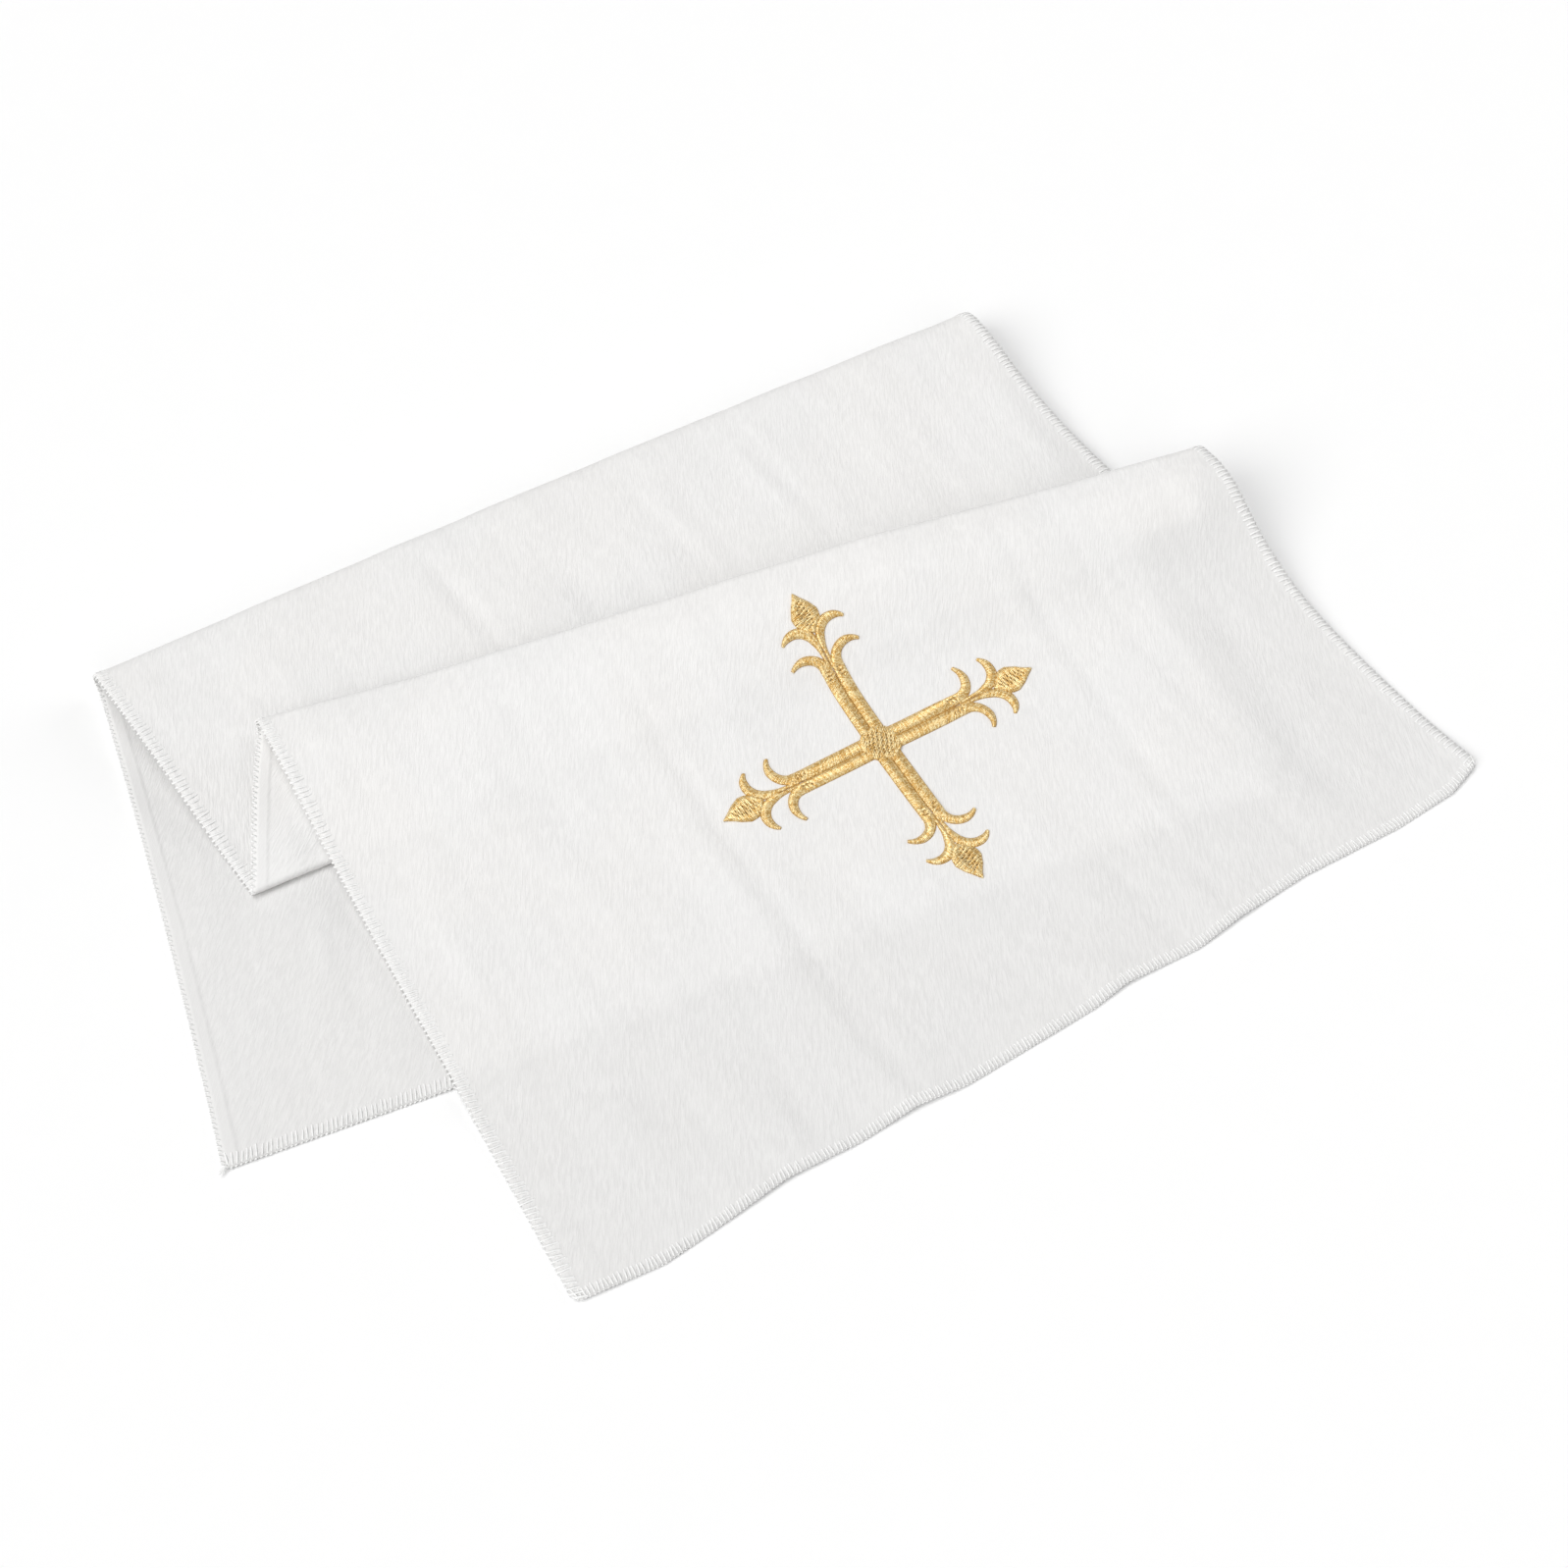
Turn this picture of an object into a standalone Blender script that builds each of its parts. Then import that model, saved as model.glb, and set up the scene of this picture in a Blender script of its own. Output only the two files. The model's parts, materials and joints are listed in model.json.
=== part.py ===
"""A white cotton purificator, folded loosely back and forth in four layers, with a gold embroidered cross.

Metres, +Z up. X runs along the front edge, +Y points to the rear fold, and the lowest layer lies on z = 0.
The origin is on the surface it lies on, under the middle of the outline.
"""

import math
from collections import namedtuple

import bpy
import numpy as np
from mathutils import Vector
from mathutils.bvhtree import BVHTree
from mathutils.geometry import delaunay_2d_cdt

MM = 0.001

# The cloth: its thickness, and how finely its sheet is divided.
CLOTH_THICKNESS = 1.2 * MM
CELLS_ACROSS = 32
STEPS_AT_TURN = 8
STEP_ON_FLOOR = 15.0
STEP_IN_AIR = 7.0
FLOOR_CLEARANCE = 1.8
COVERED_EDGE_BLEND = (-13.0, -3.0)
FALL_CLEAR_OF_FLOOR = (2.0, 9.0)

# The embroidery: a plate of stitches that lies on the front panel. Its crossbar and its upright aren't quite
# square to each other, as the soft cotton is drawn a little askew.
CROSS_CENTRE = (36.2, -20.8)
CROSSBAR_TURN = -2.9
UPRIGHT_TURN = 89.3
CROSS_THICKNESS = 0.9 * MM
CROSS_GAP = 0.3 * MM
CROSS_REACH = 52.0
CROSS_LATTICE = 2.6
LATTICE_CLEARANCE = 1.0
JOIN_WITHIN = 0.02
ABOVE_EVERYTHING = 1000
ROSETTE_RADIUS = 5.7
ROSETTE_SIDES = 16

# One arm of the cross, in millimetres, pointing along +Y from its middle: a shaft, a narrow neck, two pairs of
# leaves that rise along a stem and curl outwards on an arc, and a pointed tip.
Bar = namedtuple("Bar", "half_width start end")
BARS = (
    Bar(3.65, 0.0, 28.4),
    Bar(0.9, 28.0, 40.0),
)
Leaf = namedtuple("Leaf", "stem centre radius start_angle end_angle widths")
LEAVES = (
    Leaf(((1.9, 25.0),), (7.4, 27.1), 5.5, 180, 48, (3.5, 3.5, 3.2, 2.8, 2.4, 0.8)),
    Leaf(((0.45, 27.0), (0.8, 35.0)), (6.2, 35.8), 5.1, 168, 40, (0.9, 0.9, 1.2, 2.3, 3.0, 2.9, 2.3, 0.7)),
)
ARC_STEPS = 7
Station = namedtuple("Station", "along half_width")
TIP = (
    Station(38.6, 0.0),
    Station(40.2, 2.2),
    Station(42.2, 3.9),
    Station(44.6, 4.2),
    Station(47.3, 2.9),
    Station(49.6, 1.2),
    Station(51.5, 0.0),
)

# Where each end of the cloth and each fold lies, in millimetres seen from above. bow is how far the middle of
# its line stands to the rear of a straight one.
Fold = namedtuple("Fold", "name left right bow")
FOLDS = (
    Fold("hem", (-177.7, -37.4), (124.0, -93.8), 0.0),
    Fold("rear", (-144.7, 120.4), (151.6, 103.2), 1.4),
    Fold("valley", (-136.5, 32.2), (159.4, -10.8), 4.0),
    Fold("ridge", (-112.5, 74.9), (173.0, 9.9), 0.0),
    Fold("front", (-119.5, -116.5), (177.7, -116.5), 0.0),
)

# The four layers between those lines, from the lowest up, and how far the middle of each side edge is drawn
# in.
Panel = namedtuple("Panel", "name left_in right_in")
PANELS = (
    Panel("lying", 1.2, 0.0),
    Panel("rear", 0.0, 0.9),
    Panel("riser", 0.0, 0.0),
    Panel("front", 0.4, 1.4),
)
PANEL_NAMES = [panel.name for panel in PANELS]
RISER, FRONT = PANEL_NAMES.index("riser"), PANEL_NAMES.index("front")
TURN_AFTER = 0.5

# How high the middle of the sheet runs in each panel, in millimetres: way is the distance from the fold
# behind it, and past the last way the panel keeps the last height up to its next fold.
Height = namedtuple("Height", "panel way left right")
HEIGHTS = (
    Height("lying", 0, 0.6, 0.6),
    Height("rear", 0, 12.3, 13.6),
    Height("rear", 10, 12.5, 12.2),
    Height("rear", 20, 12.0, 9.4),
    Height("rear", 31, 11.0, 6.6),
    Height("rear", 41, 9.2, 4.9),
    Height("rear", 51, 6.8, 3.7),
    Height("rear", 61, 4.4, 3.0),
    Height("rear", 71, 2.8, 2.6),
    Height("rear", 77, 2.4, 2.4),
    Height("riser", 0, 6.8, 6.8),
    Height("riser", 10, 8.0, 11.2),
    Height("riser", 36, 11.6, 14.2),
    Height("front", 0, 18.3, 22.2),
    Height("front", 7, 18.6, 22.5),
    Height("front", 14, 17.9, 20.6),
    Height("front", 22, 15.4, 15.7),
    Height("front", 30, 12.4, 10.8),
    Height("front", 38, 9.4, 7.2),
    Height("front", 47, 6.0, 4.4),
    Height("front", 57, 3.5, 2.6),
    Height("front", 68, 1.7, 1.4),
    Height("front", 85, 0.8, 0.8),
    Height("front", 105, 0.6, 0.6),
)

# How far the ridge rises above its line across the cloth, from the left (0) to the right (1), in millimetres.
Rise = namedtuple("Rise", "across rise")
RIDGE_RISES = (
    Rise(0.0, 0.0),
    Rise(0.16, -1.6),
    Rise(0.36, 0.2),
    Rise(0.62, 2.8),
    Rise(0.82, 0.6),
    Rise(1.0, 0.0),
)
RIDGE_FADE = 46.0

# How far the front edge of the top layer bulges forward across the cloth, in millimetres.
Bulge = namedtuple("Bulge", "across forward")
FRONT_BULGES = (
    Bulge(0.00, 0.0),
    Bulge(0.08, 3.3),
    Bulge(0.13, 2.5),
    Bulge(0.21, 0.7),
    Bulge(0.28, 2.4),
    Bulge(0.34, 2.1),
    Bulge(0.39, 4.1),
    Bulge(0.53, 4.1),
    Bulge(0.57, 2.8),
    Bulge(0.65, 4.8),
    Bulge(0.70, 3.3),
    Bulge(0.78, 2.6),
    Bulge(0.89, 4.8),
    Bulge(0.96, 4.2),
    Bulge(1.00, 0.6),
)
BULGE_POWER = 3

# Soft ridges and, with a height below 0, troughs: start and end are shares across and along a panel, and
# half_width and height are in millimetres.
Crease = namedtuple("Crease", "panel start end half_width height")
CREASES = (
    Crease("front", (0.33, 0.10), (0.43, 0.97), 9.0, 1.2),
    Crease("front", (0.79, 0.12), (0.86, 0.92), 8.0, 1.1),
    Crease("rear", (0.38, 0.15), (0.50, 0.60), 8.0, -0.7),
    Crease("rear", (0.66, 0.10), (0.76, 0.70), 8.0, 0.7),
)

# The rows of points along a side edge. panels holds each row's panel, or for a row in a turn the panel before
# it plus TURN_AFTER, shares how far along it the row is, and ways that distance in millimetres.
Side = namedtuple("Side", "points panels shares ways")


def smooth_step(value, low, high):
    """0 up to low, 1 from high, and an even rise between them."""
    share = np.clip((value - low) / (high - low), 0.0, 1.0)
    return share * share * (3.0 - 2.0 * share)


def unit(vector):
    return vector / np.linalg.norm(vector)


def panel_heights(index, side):
    """The (way, height) rows of one panel on one side."""
    return [(row.way, getattr(row, side)) for row in HEIGHTS if row.panel == PANELS[index].name]


def turn_radius(index, side):
    """Half the height between the panels that meet at a fold, and 0 at an end of the cloth."""
    if index in (0, len(FOLDS) - 1):
        return 0.0
    arriving = panel_heights(index - 1, side)[-1][1]
    leaving = panel_heights(index, side)[0][1]
    return (leaving - arriving) / 2


def fold_point(index, side):
    return np.array(getattr(FOLDS[index], side))


def curve_through(ways, heights, at):
    """A smooth curve through the heights, level at both ends, read at each of the given ways."""
    if len(ways) == 1:
        return np.full(len(at), heights[0])
    slopes = np.gradient(heights, ways)
    slopes[0] = slopes[-1] = 0.0
    at = np.minimum(at, ways[-1])
    after = np.clip(np.searchsorted(ways, at), 1, len(ways) - 1)
    before = after - 1
    gap = ways[after] - ways[before]
    t = (at - ways[before]) / gap
    return (
        heights[before] * (1 + 2 * t) * (1 - t) ** 2
        + slopes[before] * gap * t * (1 - t) ** 2
        + heights[after] * t * t * (3 - 2 * t)
        + slopes[after] * gap * t * t * (t - 1)
    )


def panel_steps(index):
    """How far along a panel its rows stand, as shares, the same for both sides."""
    lengths = []
    for side in ("left", "right"):
        span = np.linalg.norm(fold_point(index + 1, side) - fold_point(index, side))
        lengths.append(span - turn_radius(index, side) - turn_radius(index + 1, side))
    spacing = STEP_ON_FLOOR if index == 0 else STEP_IN_AIR
    return np.linspace(0.0, 1.0, math.ceil(max(lengths) / spacing) + 1)


def side_rows(side):
    """The middle of the sheet along one side edge, from the lowest layer's front hem to the top one's."""
    points, panels, shares, ways = [], [], [], []

    def add(plan, height, panel, share, way):
        points.append((plan[0], plan[1], height))
        panels.append(panel)
        shares.append(share)
        ways.append(way)

    for index, panel in enumerate(PANELS):
        start, end = fold_point(index, side), fold_point(index + 1, side)
        forward = unit(end - start)
        before, after = turn_radius(index, side), turn_radius(index + 1, side)
        length = np.linalg.norm(end - start) - before - after
        listed, heights = np.array(panel_heights(index, side), float).T
        listed = np.minimum(listed, length)
        drawn_in = np.array((panel.left_in if side == "left" else -panel.right_in, 0.0))
        at = panel_steps(index)
        for share, height in zip(at, curve_through(listed, heights, at * length)):
            plan = start + forward * (before + share * length) + drawn_in * 4 * share * (1 - share)
            add(plan, height, index, share, share * length)
        if index + 2 < len(FOLDS):
            onward = unit(fold_point(index + 2, side) - end)
            middle = points[-1][2] + after
            for step in range(1, STEPS_AT_TURN):
                angle = math.pi * (step / STEPS_AT_TURN - 0.5)
                inward = after * (1.0 - math.cos(angle))
                plan = end - forward * inward if angle < 0 else end + onward * inward
                add(plan, middle + after * math.sin(angle), index + TURN_AFTER, step / STEPS_AT_TURN, 0.0)
    return Side(np.array(points), np.array(panels), np.array(shares), np.array(ways))


def bows(side):
    """For each row, how far its middle stands to the rear."""
    found = []
    for panel, share in zip(side.panels, side.shares):
        share = share if panel == int(panel) else 1.0
        found.append(FOLDS[int(panel)].bow * (1 - share) + FOLDS[int(panel) + 1].bow * share)
    return np.array(found)


def front_bulge(across, side):
    """How far each row of the front panel bulges forward at this place across, most at its free edge."""
    forward = np.interp(across, [row.across for row in FRONT_BULGES], [row.forward for row in FRONT_BULGES])
    return forward * (side.panels == FRONT) * side.shares**BULGE_POWER


def covered(x, y):
    """1 over the lowest layer and 0 past its front hem and its right edge, with a soft step between."""
    hem_left, hem_right = fold_point(0, "left"), fold_point(0, "right")
    rear_right = fold_point(1, "right")
    along, up = unit(hem_right - hem_left), unit(rear_right - hem_right)
    behind_hem = -along[1] * (x - hem_left[0]) + along[0] * (y - hem_left[1])
    inside_edge = up[1] * (hem_right[0] - x) - up[0] * (hem_right[1] - y)
    return smooth_step(behind_hem, *COVERED_EDGE_BLEND) * smooth_step(inside_edge, *COVERED_EDGE_BLEND)


def ridge_rise(across, side):
    """How much higher each row stands at this place across, because of the ridge's uneven line."""
    rise = np.interp(across, [row.across for row in RIDGE_RISES], [row.rise for row in RIDGE_RISES])
    at_turn = (side.panels == RISER + TURN_AFTER).astype(float)
    riser = np.where(side.panels == RISER, side.shares, 0.0)
    front = np.where(side.panels == FRONT, 1.0 - smooth_step(side.ways, 0.0, RIDGE_FADE), 0.0)
    return rise * (at_turn + riser + front)


def crease_rise(across, side, width, lengths):
    """The height of the pressed creases at this place across, for each row."""
    rise = np.zeros(len(side.panels))
    for crease in CREASES:
        index = PANEL_NAMES.index(crease.panel)
        scale = np.array([width, lengths[index]])
        start, end = np.array(crease.start) * scale, np.array(crease.end) * scale
        line = end - start
        place = np.stack([np.full(len(rise), across), side.shares], axis=1) * scale
        share = np.clip((place - start) @ line / (line @ line), 0.0, 1.0)
        away = np.linalg.norm(place - start - share[:, None] * line, axis=1)
        ends = np.sqrt(np.abs(np.sin(np.pi * share)))
        rise += (side.panels == index) * crease.height * ends * np.exp(-((away / crease.half_width) ** 2))
    return rise


def sheet_points(across_shares):
    """The middle of the sheet, one column of points for each share across, in millimetres.

    Both sides have the same rows, so the left side's panels and shares stand for either.
    """
    left, right = side_rows("left"), side_rows("right")
    width = np.linalg.norm(fold_point(-1, "right") - fold_point(-1, "left"))
    lengths = [np.linalg.norm(fold_point(i + 1, "left") - fold_point(i, "left")) for i in range(len(PANELS))]
    columns = []
    for across in across_shares:
        points = left.points * (1 - across) + right.points * across
        points[:, 1] += bows(left) * 4 * across * (1 - across) - front_bulge(across, left)
        lift = FLOOR_CLEARANCE * covered(points[:, 0], points[:, 1])
        near_floor = 1.0 - smooth_step(points[:, 2], *FALL_CLEAR_OF_FLOOR)
        points[:, 2] += (left.panels == FRONT) * lift * near_floor
        points[:, 2] += ridge_rise(across, left)
        points[:, 2] += crease_rise(across, left, width, lengths)
        columns.append(points)
    return np.array(columns)


def material(name, colour, roughness, metallic):
    """A plain finish for one sub-part."""
    made = bpy.data.materials.new(name)
    made.use_nodes = True
    shader = made.node_tree.nodes["Principled BSDF"]
    shader.inputs["Base Color"].default_value = (*colour, 1.0)
    shader.inputs["Roughness"].default_value = roughness
    shader.inputs["Metallic"].default_value = metallic
    return made


def make_cloth(collection):
    """One sheet of cotton: a flat grid moved point by point to the folded shape, then given its thickness."""
    columns = sheet_points(np.linspace(0.0, 1.0, CELLS_ACROSS + 1))
    rows = columns.shape[1]
    bpy.ops.mesh.primitive_grid_add(x_subdivisions=CELLS_ACROSS, y_subdivisions=rows - 1, size=1.0)
    cloth = bpy.context.object
    cloth.name = cloth.data.name = "cloth"
    for vertex in cloth.data.vertices:
        column = round((vertex.co.x + 0.5) * CELLS_ACROSS)
        row = round((vertex.co.y + 0.5) * (rows - 1))
        vertex.co = Vector(columns[column, row]) * MM
    solidify = cloth.modifiers.new("Thickness", "SOLIDIFY")
    solidify.thickness = CLOTH_THICKNESS
    solidify.offset = 0.0
    solidify.use_even_offset = True
    cloth.data.shade_smooth()
    cloth.data.materials.append(material("white_cotton", (0.86, 0.86, 0.85), 0.9, 0.0))
    move_to(cloth, collection)
    return cloth


def arc(centre, radius, start, end, steps):
    """Points along an arc, from one angle to another, in degrees."""
    angles = np.radians(np.linspace(start, end, steps + 1))
    return [(centre[0] + radius * math.cos(a), centre[1] + radius * math.sin(a)) for a in angles]


def ribbon(path, widths):
    """The outline of a stroke of stitches: a path with a width that changes evenly along its length."""
    path = np.array(path)
    along = np.gradient(path, axis=0)
    along /= np.linalg.norm(along, axis=1)[:, None]
    aside = np.stack([-along[:, 1], along[:, 0]], axis=1)
    ways = np.concatenate([[0.0], np.cumsum(np.linalg.norm(np.diff(path, axis=0), axis=1))])
    half = np.interp(ways / ways[-1], np.linspace(0, 1, len(widths)), widths)[:, None] / 2
    return np.vstack([path + aside * half, (path - aside * half)[::-1]])


def arm_strokes():
    """The outlines that one arm of the cross is made of."""
    strokes = []
    for bar in BARS:
        corners = ((-1, bar.start), (1, bar.start), (1, bar.end), (-1, bar.end))
        strokes.append(np.array([(side * bar.half_width, along) for side, along in corners]))
    right_side = [(row.half_width, row.along) for row in TIP]
    strokes.append(np.array(right_side + [(-x, y) for x, y in reversed(right_side[1:-1])]))
    for leaf in LEAVES:
        curl = arc(leaf.centre, leaf.radius, leaf.start_angle, leaf.end_angle, ARC_STEPS)
        outline = ribbon([*leaf.stem, *curl], leaf.widths)
        strokes += [outline, outline * (-1.0, 1.0)]
    return strokes


def cross_outline():
    """The edge of the whole cross as one closed loop of points, in millimetres about its middle."""
    strokes = []
    for quarter in range(4):
        turn = math.radians(90 * quarter)
        spin = np.array([(math.cos(turn), math.sin(turn)), (-math.sin(turn), math.cos(turn))])
        strokes += [stroke @ spin for stroke in arm_strokes()]
    strokes.append(np.array(arc((0, 0), ROSETTE_RADIUS, 0, 360 * (1 - 1 / ROSETTE_SIDES), ROSETTE_SIDES - 1)))
    points, faces = [], []
    for stroke in strokes:
        faces.append(list(range(len(points), len(points) + len(stroke))))
        points += [Vector(p) for p in stroke]
    points, _, faces, _, _, _ = delaunay_2d_cdt(points, [], faces, 1, JOIN_WITHIN)
    edges = {edge for face in faces for edge in zip(face, face[1:] + face[:1])}
    follows = {a: b for a, b in edges if (b, a) not in edges}
    loop = [min(follows)]
    while follows[loop[-1]] != loop[0]:
        loop.append(follows[loop[-1]])
    return [points[i] for i in loop]


def cross_sheet():
    """The cross as a flat triangulated face, with an even lattice of points inside so that it can bend."""
    outline = cross_outline()
    steps = np.arange(-CROSS_REACH, CROSS_REACH, CROSS_LATTICE)
    lattice = [Vector((x, y)) for x in steps for y in steps]
    clear = [p for p in lattice if min((p - q).length for q in outline) > LATTICE_CLEARANCE]
    whole = [list(range(len(outline)))]
    points, _, faces, _, _, _ = delaunay_2d_cdt(outline + clear, [], whole, 1, JOIN_WITHIN)
    return points, faces


def lie_on(surface, x, y):
    """The place on top of the cloth over a point of the plan in millimetres, and the surface's normal."""
    found, normal, _, _ = surface.ray_cast(Vector((x, y, ABOVE_EVERYTHING)) * MM, Vector((0, 0, -1)))
    return found, normal


def direction(degrees):
    return np.array((math.cos(math.radians(degrees)), math.sin(math.radians(degrees))))


def laid_distances(surface, reach):
    """How far a distance along the cross's upright, measured on the cloth, reaches on the plan."""
    plan = np.arange(-reach, reach + 1.0)
    places = [lie_on(surface, *(CROSS_CENTRE + direction(UPRIGHT_TURN) * p))[0] / MM for p in plan]
    laid = np.cumsum([0.0] + [(b - a).length for a, b in zip(places, places[1:])])
    return laid - np.interp(0.0, plan, laid), plan


def make_cross(collection, cloth):
    """The gold embroidery: a thin plate in the outline of the cross that follows the front panel."""
    points, faces = cross_sheet()
    surface = BVHTree.FromObject(cloth, bpy.context.evaluated_depsgraph_get())
    laid, plan = laid_distances(surface, CROSS_REACH)
    placed = []
    for point in points:
        up = np.interp(point.y, laid, plan)
        place = CROSS_CENTRE + direction(CROSSBAR_TURN) * point.x + direction(UPRIGHT_TURN) * up
        found, normal = lie_on(surface, *place)
        placed.append(found + Vector((0, 0, CROSS_GAP / normal.z)))
    mesh = bpy.data.meshes.new("embroidered_cross")
    mesh.from_pydata(placed, [], faces)
    mesh.update()
    cross = bpy.data.objects.new("embroidered_cross", mesh)
    solidify = cross.modifiers.new("Thickness", "SOLIDIFY")
    solidify.thickness = CROSS_THICKNESS
    solidify.offset = 1.0
    mesh.materials.append(material("gold_thread", (0.72, 0.46, 0.13), 0.45, 0.3))
    collection.objects.link(cross)
    cross.parent = cloth
    return cross


def move_to(obj, collection):
    for holder in list(obj.users_collection):
        holder.objects.unlink(obj)
    collection.objects.link(obj)


def main():
    for obj in list(bpy.data.objects):
        bpy.data.objects.remove(obj)
    collection = bpy.data.collections.new("purificator")
    bpy.context.scene.collection.children.link(collection)
    cloth = make_cloth(collection)
    make_cross(collection, cloth)


main()
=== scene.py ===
"""The looks of a white cotton purificator: the folded cloth, its overlocked edge and its embroidered cross.

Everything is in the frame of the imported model, in metres, +Z up, resting on z = 0. The sizes below are in
millimetres. A place on the cloth is (x, y) as if it lay flat: x from its left side edge, and y from the
front hem of its lowest layer.
"""

import json
import math
import random
from collections import namedtuple

import bpy
import numpy as np
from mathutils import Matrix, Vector
from mathutils.bvhtree import BVHTree
from numpy.linalg import norm

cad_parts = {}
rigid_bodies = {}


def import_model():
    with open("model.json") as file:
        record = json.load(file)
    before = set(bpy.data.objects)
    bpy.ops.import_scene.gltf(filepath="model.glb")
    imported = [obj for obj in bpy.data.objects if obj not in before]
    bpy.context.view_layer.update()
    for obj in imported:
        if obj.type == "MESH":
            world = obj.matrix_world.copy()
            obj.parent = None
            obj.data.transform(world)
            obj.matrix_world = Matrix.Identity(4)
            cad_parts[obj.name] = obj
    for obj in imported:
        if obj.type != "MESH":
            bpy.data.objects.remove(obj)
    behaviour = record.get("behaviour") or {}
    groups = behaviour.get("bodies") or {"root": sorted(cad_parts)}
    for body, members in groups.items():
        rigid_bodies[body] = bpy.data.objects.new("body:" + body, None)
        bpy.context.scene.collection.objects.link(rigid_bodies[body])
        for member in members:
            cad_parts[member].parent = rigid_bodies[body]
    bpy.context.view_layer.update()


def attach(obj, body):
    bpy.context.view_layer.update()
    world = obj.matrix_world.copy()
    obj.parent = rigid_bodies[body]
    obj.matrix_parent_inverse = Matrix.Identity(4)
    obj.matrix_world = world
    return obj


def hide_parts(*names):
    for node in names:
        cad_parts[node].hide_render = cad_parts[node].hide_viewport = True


MM = 0.001

# Added where a length may be zero.
TINY = 1e-9

# The cloth, cut about 300 by 490 mm, and how finely its sheet is divided.
CLOTH_FLAT = (300.0, 490.0)
SHEET_THICKNESS = 0.7
CELLS_ACROSS = 170
CELL_ALONG = 2.6
STEPS_AT_TURN = 12
CORNER_RADIUS = 2.4

# The sheet's middle never lies lower than this, and rises a little towards its edges, for the thread.
LOWEST_MIDDLE = 0.42
EDGE_LIFT = 0.2
EDGE_LIFT_REACH = 5.0

# The top layer stands this much higher over the lowest one: the blend is the distance inside that one's
# edge, and the fall is the height from which the top layer is clear of it anyway.
FLOOR_CLEARANCE = 1.5
COVERED_EDGE_BLEND = (-18.0, -2.0)
FALL_CLEAR_OF_FLOOR = (2.0, 9.0)

# How far the ridge's uneven rise reaches down the top layer, and how sharply its front bulges begin.
RIDGE_FADE = 46.0
BULGE_POWER = 3

# Where each end of the cloth and each fold lies, seen from above. bow is how far the middle of its line
# stands to the rear of a straight one.
Fold = namedtuple("Fold", "name left right bow")
FOLDS = (
    Fold("hem", (-177.7, -37.4), (124.0, -93.8), 0.0),
    Fold("rear", (-144.7, 120.4), (151.6, 103.2), 1.4),
    Fold("valley", (-136.5, 32.2), (159.4, -10.8), 4.0),
    Fold("ridge", (-112.5, 74.9), (173.0, 9.9), 0.0),
    Fold("front", (-119.5, -116.5), (177.7, -116.5), 0.0),
)

# The four layers between those lines, from the lowest up, and how far each side edge's middle is drawn in.
Panel = namedtuple("Panel", "name left_in right_in")
PANELS = (
    Panel("lying", 1.2, 0.0),
    Panel("rear", 0.0, 0.9),
    Panel("riser", 0.0, 0.0),
    Panel("front", 0.4, 1.4),
)
PANEL_NAMES = [panel.name for panel in PANELS]
RISER, FRONT = PANEL_NAMES.index("riser"), PANEL_NAMES.index("front")

# A row of the turn after a panel has that panel's number and this much more.
TURN_AFTER = 0.5

# Layers are found by rays cast down, and their number at each point is softened in a few rounds.
ABOVE_EVERYTHING = 1000.0
DOWN = Vector((0, 0, -1))
SOFTENING_ROUNDS = 2

# How high the middle of the sheet runs in each panel: way is the distance from the fold behind it.
Height = namedtuple("Height", "panel way left right")
HEIGHTS = (
    Height("lying", 0, 0.6, 0.6),
    Height("rear", 0, 12.3, 13.6),
    Height("rear", 10, 12.5, 12.2),
    Height("rear", 20, 12.0, 9.4),
    Height("rear", 31, 11.0, 6.6),
    Height("rear", 41, 9.2, 4.9),
    Height("rear", 51, 6.8, 3.7),
    Height("rear", 61, 4.1, 3.0),
    Height("rear", 71, 2.3, 2.6),
    Height("rear", 77, 1.6, 2.4),
    Height("riser", 0, 3.6, 6.8),
    Height("riser", 10, 6.6, 11.2),
    Height("riser", 36, 11.6, 14.2),
    Height("front", 0, 18.3, 22.2),
    Height("front", 7, 18.6, 22.5),
    Height("front", 14, 17.9, 20.6),
    Height("front", 22, 15.4, 15.7),
    Height("front", 30, 12.4, 10.8),
    Height("front", 38, 9.4, 7.2),
    Height("front", 47, 6.0, 4.4),
    Height("front", 57, 3.5, 2.6),
    Height("front", 68, 1.7, 1.4),
    Height("front", 85, 0.8, 0.8),
    Height("front", 105, 0.6, 0.6),
)

# How far the ridge rises above its line across the cloth, from the left (0) to the right (1).
Rise = namedtuple("Rise", "across rise")
RIDGE_RISES = (
    Rise(0.0, 0.0),
    Rise(0.16, -1.6),
    Rise(0.36, 0.2),
    Rise(0.62, 2.8),
    Rise(0.82, 0.6),
    Rise(1.0, 0.0),
)

# How far the front edge of the top layer bulges forward across the cloth, and how far it stands up there.
Bulge = namedtuple("Bulge", "across forward lift")
FRONT_BULGES = (
    Bulge(0.00, 0.0, 0.3),
    Bulge(0.08, 3.3, 0.0),
    Bulge(0.13, 2.5, 0.2),
    Bulge(0.21, 0.7, 0.7),
    Bulge(0.28, 2.4, 0.1),
    Bulge(0.34, 2.1, 0.9),
    Bulge(0.39, 4.1, 0.1),
    Bulge(0.53, 4.1, 0.0),
    Bulge(0.57, 2.8, 0.7),
    Bulge(0.65, 4.8, 0.0),
    Bulge(0.70, 3.3, 0.8),
    Bulge(0.78, 2.6, 0.2),
    Bulge(0.89, 4.8, 0.0),
    Bulge(0.96, 4.2, 0.3),
    Bulge(1.00, 0.6, 1.0),
)
LIFT_REACH = 0.16

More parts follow.
